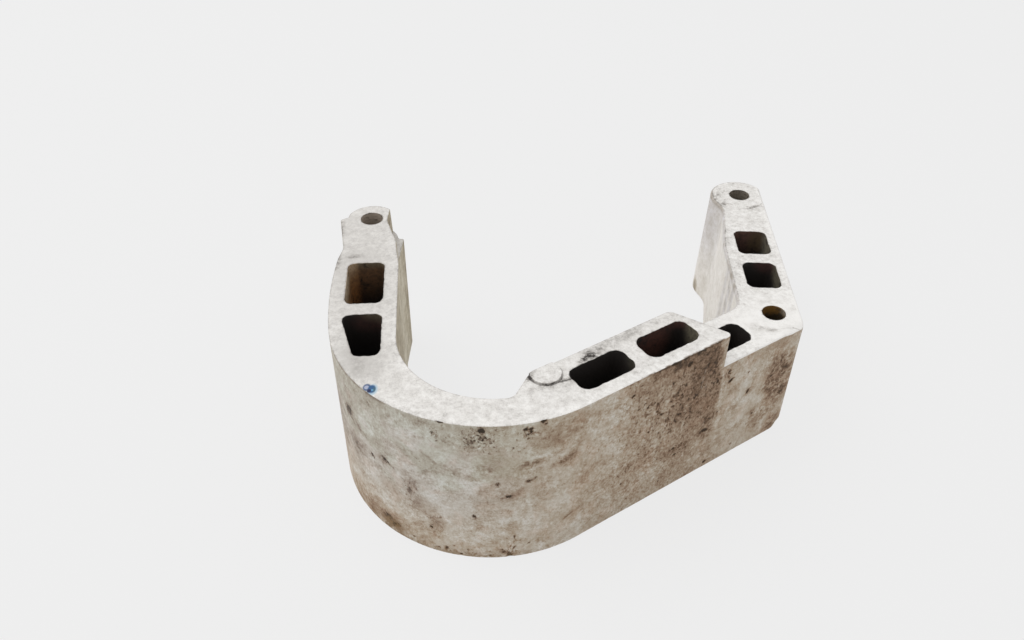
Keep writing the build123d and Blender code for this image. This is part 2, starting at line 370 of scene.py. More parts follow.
# Broad soiled places on the wall: run, height, half length, half height, tilt, share
STAINS = (
    (75, 54.5, 3.6, 2.6, 30, 0.52), (82, 50.5, 6, 1.8, -15, 0.16), (74, 37, 10, 5, 10, 0.22),
    (62, 48, 3, 5, 0, 0.14), (97.5, 43.5, 3.5, 1.5, -22, 0.2), (110.5, 35.5, 3.6, 4.6, 0, 0.3),
    (113, 25, 4, 5.5, 0, 0.16), (120.5, 17.5, 2.6, 7, 8, 0.22), (157.5, 55, 4.4, 1.8, 6, 0.4),
    (171.8, 52.2, 4.6, 2, 12, 0.4), (148.5, 37, 3.4, 2.2, 10, 0.22),
    (152.5, 39.8, 3.4, 2, 35, 0.16), (124.5, 53, 9.5, 1.5, -24, 0.12), (136, 48.5, 7, 1.6, 5, 0.08),
    (139, 68.5, 6, 5, 0, 0.15), (125, 74.5, 30, 1.6, 0, 0.1), (182, 39, 14, 3.6, 12, 0.1),
    (196, 27, 14, 3, 0, 0.12), (176, 17.5, 8, 2, 22, 0.12), (228, 73.5, 17, 2.6, 0, 0.22),
    (240, 58, 9, 10, 0, 0.08), (221, 52, 8, 8, 40, 0.06), (246, 68, 5, 5, 0, 0.14),
    (232, 22.5, 10, 3.5, 0, 0.1), (289, 42, 7, 11, 0, 0.38), (284, 33, 5, 4, 30, 0.26),
    (291, 23, 7, 9, 0, 0.34), (281, 12, 7, 4, 30, 0.22), (271.6, 36.3, 1.8, 2.6, 0, 0.26),
    (276, 55, 12, 3, 0, 0.1), (260.4, 41.2, 3, 2.6, 0, 0.14), (297, 36, 5, 13, 0, 0.26),
    (278.1, 18.9, 1.6, 2.4, 0, 0.2), (294, 6, 5, 6, 0, 0.34), (170, 32, 10, 8, 0, -0.06),
    (97.5, 6, 4.8, 2.1, -28, 0.75), (84, 9, 16, 6, 8, 0.16), (262, 2.5, 12, 2, 0, 0.16),
    (106, 24, 7, 9, 0, 0.12), (110, 41, 6, 3, 0, 0.14), (108, 9, 12, 5, 0, 0.14),
    (170, 68, 10, 6, 10, 0.14), (168, 59, 9, 4, 10, 0.12), (134, 62, 12, 12, 0, 0.08),
    (232, 24, 9, 6, 0, 0.08), (210, 70, 7, 4, 0, 0.14), (186, 71, 8, 3, 0, 0.06),
    (50, 28, 14, 24, 0, 0.15), (90, 26, 5, 6, 0, -0.09), (130, 40, 8, 6, 0, -0.09),
    (77, 71, 14, 4, 0, 0.05), (248.8, 27, 4.5, 8, 0, 0.34), (160, 10, 6, 4, 30, 0.08),
)

# Places thick with small dark specks: run, height, half length, half height, tilt, share
SPECKLED = (
    (138, 68.5, 8, 7, 0, 0.9), (157, 72, 5, 3, 0, 0.8), (153, 63, 3.5, 5, 30, 0.7),
    (121.5, 69, 2.5, 4.5, 0, 0.7), (120, 18, 3.5, 9, 0, 0.6), (150, 6, 4, 7, 0, 0.8),
    (132, 2.5, 18, 2.5, 0, 0.6), (203, 66, 8, 6, 0, 0.4), (211, 58, 7, 6, 0, 0.3),
    (235, 66, 14, 8, 0, 0.3), (226, 48, 16, 12, 0, 0.35), (247, 55, 4, 14, 0, 0.3),
    (232, 21, 8, 5, 0, 0.3), (256, 53, 6, 5, 0, 0.5), (290, 42, 8, 12, 0, 0.22),
    (110.5, 35, 5, 6, 0, 0.6), (99, 4.5, 5, 3, 0, 0.6), (171, 52, 4, 2, 0, 0.5),
    (146, 70, 26, 5, 0, 0.25), (90, 58, 20, 16, 0, 0.15), (222, 41, 32, 32, 0, 0.55),
)

# How much darker or lighter the machined faces are from place to place: x, y, half length, half
# width, tilt, share
TONE_SHIFTS = (
    (-189, 28, 18, 30, 0, 0.13), (-179, -15, 17, 26, 0, 0.15), (-173, -56, 12, 16, 0, 0.2),
    (-158, -72, 8, 5, -30, 0.06), (-3, -4, 24, 15, 30, -0.19), (0, 70, 14, 30, 0, -0.05),
    (-72, -41, 17, 3.5, 36, 0.06),
)

# Soiled places on the machined faces, with painted shade at the pad's near foot and in its crease: x,
# y, half length, half width, tilt, share
SMUDGES_AND_PAD_SHADE = (
    (-84.4, -52.4, 3.8, 1.1, 36, 0.85), (-82.5, -49.3, 5, 2.6, 36, 0.28),
    (-70, -38.5, 15, 2.4, 36, 0.16), (-95, -68.5, 6, 2.2, 25, 0.12), (-92, -65, 3, 0.9, 20, 0.3),
    (-104, -70.5, 4, 1.4, 20, 0.14), (-107, -64.5, 1.4, 2.4, 0, 0.45), (-111, -67, 3, 4, 30, 0.1),
    (-88.5, -71, 2, 1.2, 36, 0.1), (-187.5, 11.3, 3.4, 1.3, 15, 0.2),
    (-193.8, 6, 1.2, 5, 0, 0.2), (-197.6, 34, 1.5, 8, 10, 0.18), (-172, -62, 3, 8, 25, 0.06),
    (-137, -84.5, 0.9, 2.2, 0, 0.2), (-115, -82.5, 4, 0.9, -10, 0.1),
    (-9.8, -10.5, 3, 2.5, 0, 0.2), (-4, -11.8, 4, 1.6, -10, 0.24), (-12, 5.5, 1, 1, 0, 0.18),
    (9.3, 4, 1.2, 2.4, 0, 0.18), (-13, 98.5, 2.4, 5.5, -25, 0.22), (-11, 92.5, 2.6, 4, 0, 0.14),
    (5.8, 88.6, 3.4, 1, 22, 0.34), (-7, 90.4, 2.8, 0.9, -18, 0.18), (0.5, 87, 5, 1.6, 0, 0.1),
    (6, 84, 3, 2, 0, 0.1), (-12.5, 60, 2, 6, 0, 0.12), (0, 8, 5, 1.6, 0, 0.08),
    (-46, -24, 6, 1.6, 36, 0.14), (-38, -29, 3, 1, -30, 0.12), (-66, -60.5, 2, 1, 36, 0.12),
)

# How soiled the wall is by its run, over most of its height and low down past the bend
GRIME_RUNS = (0, 50, 70, 90, 120, 150, 175, 195, 212, 228, 240, 252)
GRIME_SHARES = (0.18, 0.31, 0.31, 0.27, 0.22, 0.27, 0.27, 0.28, 0.4, 0.56, 0.62, 0.62)
CLEAN_SHARE = 0.25
LOW_RUNS = (150, 210, 236, 250, 262)
LOW_SHARES = (0.22, 0.36, 0.42, 0.42, CLEAN_SHARE + 0.03)
# The run at which a wiped patch begins, past the step, and the yellow-brown spot on the bend's foot
WIPED_RUN = 252.6
RUST_SPOTS = ((98, 5.6, 5.5, 2.6, 15, 0.9),)

# How wide and how deep the wall's long and short waves and its cast roughness are
LONG_WAVE, SHORT_WAVE, ROUGH_LUMP = 16, 5, 1.6
WAVE_DEPTH, ROUGH_DEPTH = 0.12, 0.06
# How far a pit's edge reaches, in half sizes of its oval
PIT_REACH = 1.7
# How far the front corner is worn down at its top and back at its foot, and where that foot is
CORNER_TOP_WEAR, CORNER_FOOT_WEAR = 1.3, 1.6
CORNER_FOOT = (11.9, -8.4)
# How far the pockets' mouths wander, and how wide their lumps are
MOUTH_WEAR, MOUTH_LUMP = 0.3, 1.8
# The edge gap of what isn't on a machined face
FAR_FROM_EDGES = 50.0


def wall_grime(run, height):
    """How soiled the outer wall is under its stains."""
    grime = np.interp(run, GRIME_RUNS, GRIME_SHARES)
    low = smooth(44, 24, height) * smooth(150, 200, run)
    grime = grime * (1 - low) + np.interp(run, LOW_RUNS, LOW_SHARES) * low
    grime = grime + 0.1 * smooth(14, 2, height) * within(run, 60, 85, 110, 150)
    edge = WIPED_RUN - 4.4 * smooth(50, 66, height) - np.clip(42 - height, 0, 14) * 0.1
    blur = 1 + 8 * smooth(43, 30, height) + 2 * smooth(52, 66, height)
    wiped = smooth(-0.6, 0.8, (run - edge) / blur) * smooth(14, 30, height)
    return grime * (1 - wiped) + (CLEAN_SHARE + 0.13 * smooth(50, 62, height)) * wiped


def wall_rust(run, height):
    """How much yellow-brown has dried onto the wall's foot, from 0 to 1."""
    foot = smooth(5.5, 0.5, height) * within(run, 62, 92, 145, 168)
    foot = foot + 0.5 * smooth(12, 2, height) * within(run, 60, 85, 100, 115)
    return np.clip(0.6 * foot + soiling(run, height, RUST_SPOTS), 0, 1)


def shape_wall(cast, spots, run, inward, ahead, walled):
    """Moves the outer wall onto its true curve and sinks its waves and pits inwards.

    Gives each vertex's depth into a pit, from 0 outside to 1 in the middle of a deep one.
    """
    height = spots[:, 2]
    pitting = np.zeros(len(spots))
    on_wall = walled & (abs(inward) < 0.15)
    order = np.argsort(run[on_wall])
    facet = np.interp(run, run[on_wall][order], inward[on_wall][order])
    sink = np.where(walled, -facet * smooth(2, 1, abs(inward)), 0)
    for index in np.flatnonzero(walled):
        place = Vector(spots[index])
        wave = 0.6 + 0.5 * noise.noise(place / LONG_WAVE) + 0.3 * noise.noise(place / SHORT_WAVE)
        sink[index] += WAVE_DEPTH * wave + ROUGH_DEPTH * abs(noise.noise(place / ROUGH_LUMP))
    for place_run, place_height, long, tall, tilt, depth in DENTS:
        out = reach_out(run, height, (place_run, place_height), (long, tall), tilt)
        cone = np.where(walled, np.clip(PIT_REACH - out, 0, PIT_REACH) / PIT_REACH, 0)
        sink += depth * smooth(0.2, 0.65, cone)
        pitting = np.maximum(pitting, cone * min(1, 0.3 + depth * 1.5))
    for index in np.flatnonzero(walled):
        move = Vector((-ahead[index][1], ahead[index][0], 0)) * float(sink[index]) * MM
        cast.verts[index].co += move
    return pitting


def rub_corner(cast, spots, run, inward):
    """Wears down the front corner's top and foot, which take the knocks."""
    height = spots[:, 2]
    top = CORNER_TOP_WEAR * within(run, 286, 297, 299, 304) * smooth(3.4, 0.2, inward)
    top *= (height > STEP - 1.2) & (height < STEP + HAIR)
    reach = np.linalg.norm(spots[:, :2] - CORNER_FOOT, axis=1)
    foot = CORNER_FOOT_WEAR * smooth(6, 0, reach) * smooth(5, 0, height)
    turn = WALL_ANGLE / 2 + pi / 4
    back = Vector((-cos(turn), sin(turn), 0))
    for index in np.flatnonzero(top + foot > 1e-4):
        cast.verts[index].co += (back * float(foot[index]) - Vector((0, 0, float(top[index])))) * MM


def below_top(spots):
    """How far each place is below the top of its block."""
    return np.where(spots[:, 0] < STEP_X, TOP, STEP) - spots[:, 2]


def nibble_mouths(cast, spots):
    """Makes the pockets' mouths a little uneven, as cast edges are."""
    for vert, spot, depth in zip(cast.verts, spots, below_top(spots)):
        if depth < 1 and any(face.material_index == POCKET for face in vert.link_faces):
            place = Vector(spot) / MOUTH_LUMP
            vert.co.x += noise.noise(place) * MOUTH_WEAR * MM
            vert.co.y += noise.noise(place + Vector((40, 0, 0))) * MOUTH_WEAR * MM


def edge_gap(cast, spots):
    """Each machined-face vertex's distance from the nearest edge of the machined faces."""
    regions = [{face.material_index for face in vert.link_faces} for vert in cast.verts]
    on_face = np.array([FACE in found for found in regions])
    on_edge = np.array([FACE in found and len(found) > 1 for found in regions])
    gap = np.full(len(spots), FAR_FROM_EDGES)
    gap[on_face] = nearest_of(spots[on_edge], spots[on_face])[1]
    return gap


def carried_fields(cast):
    """Shapes the outer wall, and gives each vertex its place, grime and other fields by name."""
    cast.verts.ensure_lookup_table()
    spots = np.array([vert.co for vert in cast.verts]) / MM
    run, inward, ahead = wall_place(spots[:, :2])
    x, y, height = spots.T
    walled = np.array([any(face.material_index == OUTER for face in vert.link_faces)
                       for vert in cast.verts])
    fields = {
        "place": np.stack([run, inward, height], 1),
        "grime": walled * wall_grime(run, height),
        "stain": walled * soiling(run, height, STAINS),
        "speckle": walled * soiling(run, height, SPECKLED),
        "rust": walled * wall_rust(run, height),
        "pitting": shape_wall(cast, spots, run, inward, ahead, walled),
        "dullness": soiling(x, y, TONE_SHIFTS),
        # Smudges, with painted shade by the pad
        "smudge": soiling(x, y, SMUDGES_AND_PAD_SHADE, 0.6),
        "edge_gap": edge_gap(cast, spots),
        "depth": below_top(spots),
    }
    rub_corner(cast, spots, run, inward)
    nibble_mouths(cast, spots)
    return fields


def put_in_scene(name, data):
    """A new object for a mesh, a lamp or a camera."""
    thing = bpy.data.objects.new(name, data)
    bpy.context.scene.collection.objects.link(thing)
    return thing


def mesh_bracket():
    """The whole casting as one mesh piece, with its regions as material slots."""
    cast = bmesh.new()
    cast.from_mesh(frame["nodes"]["bracket_casting"].data)
    bmesh.ops.remove_doubles(cast, verts=cast.verts, dist=2e-6)
    bmesh.ops.dissolve_limit(cast, angle_limit=radians(0.2), verts=cast.verts, edges=cast.edges)
    mark_regions(cast)
    bmesh.ops.bevel(cast, geom=worn_edges(cast), offset=EDGE_WEAR * MM, segments=2, profile=0.5,
                    affect="EDGES", clamp_overlap=False, material=-1)
    cut_regions(cast)
    fields = carried_fields(cast)
    bmesh.ops.triangulate(cast, faces=[face for face in cast.faces if len(face.verts) > 4])
    for face in cast.faces:
        face.smooth = True
    mesh = bpy.data.meshes.new("bracket_casting_detail")
    cast.to_mesh(mesh)
    cast.free()
    for name, values in fields.items():
        kind, key = ("FLOAT_VECTOR", "vector") if values.ndim == 2 else ("FLOAT", "value")
        field = mesh.attributes.new(name, kind, "POINT")
        field.data.foreach_set(key, values.astype(np.float32).ravel())
    mesh.set_sharp_from_angle(angle=SHARP_TURN)
    piece = put_in_scene("bracket_casting_detail", mesh)
    even = piece.modifiers.new("even_shading", "WEIGHTED_NORMAL")
    even.keep_sharp = True
    return piece


# ---- finishes

class Wire:
    """A shader value that Python's operators work on. Each one adds a Math node to its finish."""

    def __init__(self, finish, socket):
        self.finish, self.socket = finish, socket

    def math(self, operation, first, second=0):
        return self.finish.node("Math", {"operation": operation}, {0: first, 1: second})

    def __add__(self, other):
        return self.math("ADD", self, other)

    def __sub__(self, other):
        return self.math("SUBTRACT", self, other)

    def __rsub__(self, other):
        return self.math("SUBTRACT", other, self)

    def __mul__(self, other):
        return self.math("MULTIPLY", self, other)

    def __abs__(self):
        return self.math("ABSOLUTE", self)

    def or_more(self, other):
        return self.math("MAXIMUM", self, other)

    __radd__, __rmul__ = __add__, __mul__


class Finish:
    """A material's or the world's node tree, built up from nodes that all come from one method."""

    def __init__(self, owner):
        owner.use_nodes = True
        self.owner, self.tree = owner, owner.node_tree
        self.tree.nodes.clear()

    def node(self, kind, settings=None, sockets=None, output=0):
        """Adds a shader node: its settings, then its sockets' values or links. Gives one output."""
        made = self.tree.nodes.new("ShaderNode" + kind)
        for name, value in (settings or {}).items():
            if name == "stops":
                self.set_stops(made.color_ramp, value)
            else:
                setattr(made, name, value)
        for name, value in (sockets or {}).items():
            if isinstance(value, Wire):
                self.tree.links.new(value.socket, made.inputs[name])
            else:
                made.inputs[name].default_value = value
        return Wire(self, made.outputs[output]) if len(made.outputs) else None

    def set_stops(self, ramp, stops):
        """Gives a ramp its stops, each a place from 0 to 1 and a colour."""
        while len(ramp.elements) < len(stops):
            ramp.elements.new(1)
        for element, (place, colour) in zip(ramp.elements, stops):
            element.position, element.color = place, (*colour, 1)

    def field(self, name, output="Fac"):
        """A value that the mesh carries at each vertex."""
        return self.node("Attribute", {"attribute_name": name}, output=output)

    def vector(self, operation, first, second=(0, 0, 0), output="Vector"):
        """Vector maths. Lengths and dot products come out of the output named Value."""
        return self.node("VectorMath", {"operation": operation}, {0: first, 1: second}, output)

    def place(self, shares=(1, 1, 1)):
        """A point's place in millimetres, as a vector, with each axis taken at its own share."""
        at = self.node("TexCoord", output="Object")
        return self.vector("MULTIPLY", at, tuple(share / MM for share in shares))

    def axis(self, at, name):
        """One axis of a vector."""
        return self.node("SeparateXYZ", {}, {0: at}, name)

    def cloud(self, size, detail=3.0, roughness=0.55, distortion=0.0, at=None, shift=0.0):
        """Soft mottling whose lumps are about size across, from 0 to 1."""
        at = self.vector("ADD", at or self.place(), (shift, shift, shift))
        sockets = {"Vector": at, "Scale": 1 / size, "Detail": detail, "Roughness": roughness,
                   "Distortion": distortion}
        return self.node("TexNoise", {}, sockets, "Fac")

    def mottle(self, size, shift, detail=2.0, at=None):
        """Mottling of strong contrast, from -0.5 to 0.5."""
        return self.rise(self.cloud(size, detail, 0.6, at=at, shift=shift), 0.3, 0.7) - 0.5

    def rise(self, value, low, high):
        """A soft step from 0 to 1 as a value goes from low to high."""
        sockets = {"Value": value, "From Min": low, "From Max": high}
        return self.node("MapRange", {"interpolation_type": "SMOOTHSTEP"}, sockets)

    def within(self, value, low, full, past, high):
        """The same as within, on a shader value."""
        return self.rise(value, low, full) * self.rise(value, high, past)

    def near(self, value, middle, reach):
        """1 at a middle value, falling to 0 at its reach on each side."""
        return self.rise(abs(value - middle), reach, 0.2 * reach)

    def oval(self, at, middle, reach, soft=0.25):
        """Where a place is inside a round or oval spot."""
        off = self.vector("DIVIDE", self.vector("SUBTRACT", at, middle), reach)
        return self.rise(self.vector("LENGTH", off, output="Value"), 1 + soft, 1 - soft)

    def stroke(self, at, start, end, width):
        """Where a place is on a thin mark from one place to another."""
        reach = tuple(far - close for close, far in zip(start, end))
        length = sum(part * part for part in reach)
        off = self.vector("SUBTRACT", at, start)
        share = self.vector("DOT_PRODUCT", off, tuple(part / length for part in reach), "Value")
        share = self.node("Clamp", {}, {"Value": share})
        foot = self.node("VectorMath", {"operation": "SCALE"}, {0: reach, "Scale": share})
        gap = self.vector("LENGTH", self.vector("SUBTRACT", off, foot), output="Value")
        return self.rise(gap, width, 0.3 * width)

    def scores(self, at, rows):
        """The sum of thin marks, each a row of start, end, width and share."""
        return sum(self.stroke(at, start, end, width) * share for start, end, width, share in rows)

    def marks(self, row, speckle, at=None):
        """Small marks where a cloud is thickest, with more of them where speckle is high."""
        size, detail, roughness, shift, pull, least = row
        thick = self.cloud(size, detail, roughness, at=at, shift=shift) + speckle * pull
        return self.rise(thick, least, least + MARK_EDGE)

    def ramp(self, value, stops):
        """A colour for each value, from a row of (value, colour) stops."""
        return self.node("ValToRGB", {"stops": stops}, {"Fac": value})

    def mix(self, base, over, mask, blend="MIX"):
        """One colour laid over another where the mask is."""
        sockets = {0: mask, 6: as_colour(base), 7: as_colour(over)}
        return self.node("Mix", {"data_type": "RGBA", "blend_type": blend}, sockets, 2)

    def bump(self, height, depth, normal=None):
        """Relief from a height between 0 and 1, depth in millimetres."""
        sockets = {"Height": height, "Distance": depth * MM, "Strength": 1.0}
        if normal:
            sockets["Normal"] = normal
        return self.node("Bump", {}, sockets)

    def seen(self):
        """1 for what the camera sees, straight, mirrored or through glass."""
        straight, mirrored, through = [
            self.node("LightPath", output=f"Is {ray} Ray")
            for ray in ("Camera", "Glossy", "Transmission")
        ]
        return straight.or_more(mirrored).or_more(through)

    def surface(self, colour, roughness, metallic, normal):
        """Closes the finish with one surface shader."""
        sockets = {
            "Base Color": colour, "Roughness": roughness, "Metallic": metallic, "Normal": normal,
        }
        shader = self.node("BsdfPrincipled", {}, sockets)
        self.node("OutputMaterial", {}, {"Surface": shader})
        return self.owner


def as_colour(colour):
    """A colour as a node socket takes it."""
    return colour if isinstance(colour, Wire) else (*colour, 1)


def finish_for(name):
    """A new material's finish."""
    return Finish(bpy.data.materials.new(name))


# The metal's colour by how soiled it is, painted shade included: on the outer wall, the inner walls
# and the machined faces
SOILED_METAL = (
    (0.0, (0.72, 0.69, 0.65)),
    (0.18, (0.61, 0.56, 0.488)),
    (0.33, (0.5, 0.424, 0.338)),
    (0.5, (0.375, 0.284, 0.208)),
    (0.66, (0.25, 0.168, 0.113)),
    (0.82, (0.125, 0.077, 0.047)),
    (1.0, (0.048, 0.03, 0.016)),
)
CLEAN_METAL = (
    (0.0, (0.86, 0.842, 0.805)),
    (0.25, (0.7, 0.672, 0.62)),
    (0.5, (0.5, 0.455, 0.375)),
    (0.75, (0.29, 0.245, 0.185)),
    (1.0, (0.09, 0.072, 0.055)),
)
MACHINED_METAL = (
    (0.0, (0.91, 0.893, 0.865)),
    (0.3, (0.705, 0.682, 0.65)),
    (0.6, (0.385, 0.363, 0.338)),
    (1.0, (0.06, 0.053, 0.048)),
)

# Thin marks on the outer wall, where a place is (run, 0, height): start, end, width, share
DARK_SCORES = (
    ((176.8, 0, 18.2), (173, 0, 16.2), 0.7, 0.2),
    ((169.5, 0, 15.6), (164.8, 0, 12.2), 1.2, 0.08),
    ((116.3, 0, 57.8), (122.5, 0, 53), 0.9, 0.09),
    ((80, 0, 53), (84.5, 0, 48), 1.1, 0.14),
)
PALE_SCORES = (
    ((241.5, 0, 65), (240.6, 0, 54), 0.5, 0.6),
    ((226.5, 0, 62.4), (235.5, 0, 65.6), 0.5, 0.6),
    ((243.6, 0, 58), (243, 0, 49), 0.5, 0.45),
    ((219, 0, 57), (226, 0, 61.8), 0.5, 0.4),
    ((246.4, 0, 31.5), (246.2, 0, 28), 0.5, 0.6),
)
# The same on the machined faces, at (x, y, 0), as painted shade lines: a crease by the pad and a nick
# at the front corner
FACE_SHADE_LINES = (
    ((-95.6, -67, 0), (-91.4, -65.2, 0), 0.6, 0.4),
    ((10.6, -9.6, 0), (6.6, -9.6, 0), 0.45, 0.34),
    ((6.6, -9.6, 0), (-4, -12.6, 0), 0.6, 0.13),
)
# Small marks on the wall: size, detail, roughness, shift, pull of speckled places, least thickness
BLOTS = (3.0, 3, 0.6, 33, 0.08, 0.62)
SPECKS = (1.6, 2, 0.6, 19, 0.09, 0.66)
MOTES = (0.9, 1, 0.5, 52, 0.08, 0.69)
# Pale chips, which are also painted highlights on the lit sides of the specks
CHIPS_AND_GLINTS = (1.2, 2, 0.6, 85, 0.05, 0.63)
MARK_EDGE = 0.08
# Painted shade bands down the right arm's inner wall, where its curving would shade it: place along
# the arm, reach, share
SHADE_BANDS = ((35.0, 4.8, 0.16), (27.0, 4.6, 0.24), (19.4, 4.2, 0.22))

# Tints that multiply the metal's colour, and colours laid over it
OLIVE_TINT, ROSY_TINT = (0.955, 0.985, 0.95), (1, 0.955, 0.93)
SHADE_AND_SOIL_TINT, RIGHT_TINT, LEFT_TINT = (0.93, 0.95, 1.04), (1, 0.985, 0.985), (1, 0.97, 0.87)
DRIED_RUST = (0.24, 0.15, 0.072)
SCORED_METAL = (0.46, 0.38, 0.3)
SOILED_RIM = (0.22, 0.165, 0.12)
# Near black, for old oil and for the painted shade deep in the pockets
OIL_AND_SHADE_BLACK = (0.014, 0.01, 0.008)
GREY_BORE, TAUPE_BORE, OCHRE_BORE = (0.27, 0.235, 0.19), (0.46, 0.39, 0.325), (0.22, 0.115, 0.028)
# The ochre bore's painted shade and the painted light on its lip, its crust, and the painted shade
# deep in the bores
OCHRE_SHADE, OCHRE_LIT_LIP = (0.05, 0.035, 0.018), (0.34, 0.29, 0.22)
BORE_CRUST, BORE_DEPTH_SHADE = (0.05, 0.038, 0.028), (0.04, 0.03, 0.022)

# The paint dot's parts, one of them a painted highlight: middle, half sizes, colour
PAINT_AND_HIGHLIGHT = (
    ((-165.1, -74.4, 0), (1.9, 3, 9), (0.45, 0.57, 0.65)),
    ((-167.4, -73.3, 0), (1.5, 1.9, 9), (0.075, 0.12, 0.225)),
    ((-167.5, -73.3, 0), (0.9, 1, 9), (0.4, 0.43, 0.55)),
    ((-165.45, -74.1, 0), (1.5, 2.2, 9), (0.03, 0.1, 0.235)),
    ((-164.5, -74.3, 0), (0.5, 1.3, 9), (0.055, 0.135, 0.19)),
    # A painted highlight on the dot's core
    ((-165.2, -74.6, 0), (0.45, 0.5, 9), (0.13, 0.32, 0.5)),
    ((-166.3, -75.1, 0), (0.75, 0.95, 9), (0.012, 0.02, 0.075)),
)
# Dry places in the oily pockets, brown or olive, the lighter ones also painted light falling in near
# the mouths: middle, reach, colour
DRY_AND_LIT_PLACES = (
    ((-183, 6.5, 73), (11, 3.5, 13), (0.14, 0.07, 0.03)),
    ((-181, 7, 77), (11, 4, 3.2), (0.13, 0.105, 0.065)),
    ((-188.5, -7, 62), (3.4, 17, 18), (0.5, 0.215, 0.07)),
    ((-188, -8, 78), (3.4, 17, 13), (0.36, 0.235, 0.12)),
    ((-188, -10, 78), (3.4, 17, 8), (0.56, 0.45, 0.32)),
    ((-174, -29.6, 72), (7, 3, 4.5), (0.045, 0.018, 0.014)),
    ((-170.5, -29.8, 77), (6, 3, 4), (0.1, 0.078, 0.048)),
    ((-57, -35, 70), (8.5, 7, 10), (0.085, 0.03, 0.02)),
    ((-48, -28.5, 76), (6, 3, 3), (0.07, 0.028, 0.022)),
    ((-41.2, -32.8, 77), (3.6, 4.6, 10), (0.16, 0.14, 0.095)),
    ((-67.4, -53.5, 77), (2.6, 4, 5), (0.06, 0.052, 0.036)),
    ((-2.5, 65.5, 57.5), (8, 4, 9), (0.1, 0.048, 0.034)),
    ((4, 65.5, 54.5), (4, 3, 6), (0.085, 0.056, 0.026)),
    ((7.4, 57, 58.5), (1.6, 8, 9), (0.17, 0.15, 0.108)),
    ((4.6, 38.5, 60), (6, 3, 4.5), (0.06, 0.022, 0.018)),
    ((7.4, 30, 58.5), (1.6, 7.5, 7), (0.13, 0.112, 0.076)),
)


def wall_finish():
    """The outer wall's cast skin: grey metal under brown grime, with black in its pits."""
    skin = finish_for("soiled_cast_wall")
    place = skin.field("place", "Vector")
    run, height = skin.axis(place, "X"), skin.axis(place, "Z")
    grime, speckle = skin.field("grime"), skin.field("speckle")
    fleck = skin.mottle(1.9, 77)

    # Grime with its grain, and the stains
    grain = skin.cloud(13, 5.5, 0.95, shift=5) - 0.5
    coarse = skin.rise(skin.cloud(9, 2, shift=58), 0.38, 0.62)
    crusty = skin.within(run, 170, 210, 250, 260)
    soil_and_shade = grime + grain * (2.0 - grime * 1.6) * (0.7 + coarse * 0.6)
    soil_and_shade = soil_and_shade + skin.mottle(1.3, 13, 2) * (0.08 + crusty * 0.14)
    broken = skin.rise(skin.cloud(2.6, 4, 0.65, 0.4, shift=63), 0.36, 0.62)
    soil_and_shade = soil_and_shade + skin.field("stain") * (0.35 + broken * 0.9)

    # Specks, pits, scores and the soiled rim
    squat = skin.place((1, 1, 0.7))
    blot = skin.marks(BLOTS, speckle, squat) * speckle
    fine = skin.marks(SPECKS, speckle, squat) + skin.marks(MOTES, speckle, squat)
    # Pale chips, also painted highlights where the specks stand up into the light
    chip_and_glint = skin.marks(CHIPS_AND_GLINTS, speckle) * speckle
    ragged = skin.cloud(1.1, 3, 0.7, shift=40) - 0.5
    pit = skin.rise(skin.field("pitting") + ragged * 0.9, 0.24, 0.68)
    soil_and_shade = soil_and_shade + fine * (0.15 + speckle * 0.16) + blot * 0.31 - chip_and_glint * 0.19 + pit * 0.7
    flat = skin.vector("MULTIPLY", place, (1, 0, 1))
    soil_and_shade = soil_and_shade + skin.scores(flat, DARK_SCORES)
    rim_runs = skin.rise(run, 190, 215) + skin.rise(run, 112, 95)
    rim = skin.rise(height, 74.6, 76.0) * rim_runs * (0.5 + broken)

    # Colour: greyer and more olive on the bend, rosy in places, brown at its foot
    metal = skin.ramp(soil_and_shade + rim * 0.22, SOILED_METAL)
    greyed = skin.rise(run, 180, 110) * skin.rise(height, 5, 40)
    colour = skin.node("HueSaturation", {}, {"Color": metal, "Saturation": 1.14 - greyed * 0.42})
    olive = skin.rise(height + skin.mottle(12, 50) * 40, 40, 66) * skin.rise(run, 180, 140)
    colour = skin.mix(colour, OLIVE_TINT, olive, "MULTIPLY")
    rosy = skin.rise(skin.cloud(9, 3, 0.6, shift=91), 0.5, 0.64) * (1 - olive)
    colour = skin.mix(colour, ROSY_TINT, rosy, "MULTIPLY")
    dried = skin.rise(skin.mottle(4.5, 31, 3) + fleck, -0.7, 0.4)
    colour = skin.mix(colour, DRIED_RUST, skin.field("rust") * dried)
    worn_through = skin.rise(fleck, -0.3, 0.2)
    for start, end, width, share in PALE_SCORES:
        score = skin.stroke(flat, start, end, width)
        colour = skin.mix(colour, SCORED_METAL, score * worn_through * share)

    relief = skin.cloud(0.8, 4, 0.75, shift=7) - (blot + fine) * speckle * 0.5
    normal = skin.bump(relief, 0.25, skin.bump(skin.cloud(3.2, 4, 0.6, shift=3), 0.3))
    return skin.surface(colour, 0.55 + soil_and_shade * 0.22, 0.25 - soil_and_shade * 0.2, normal)


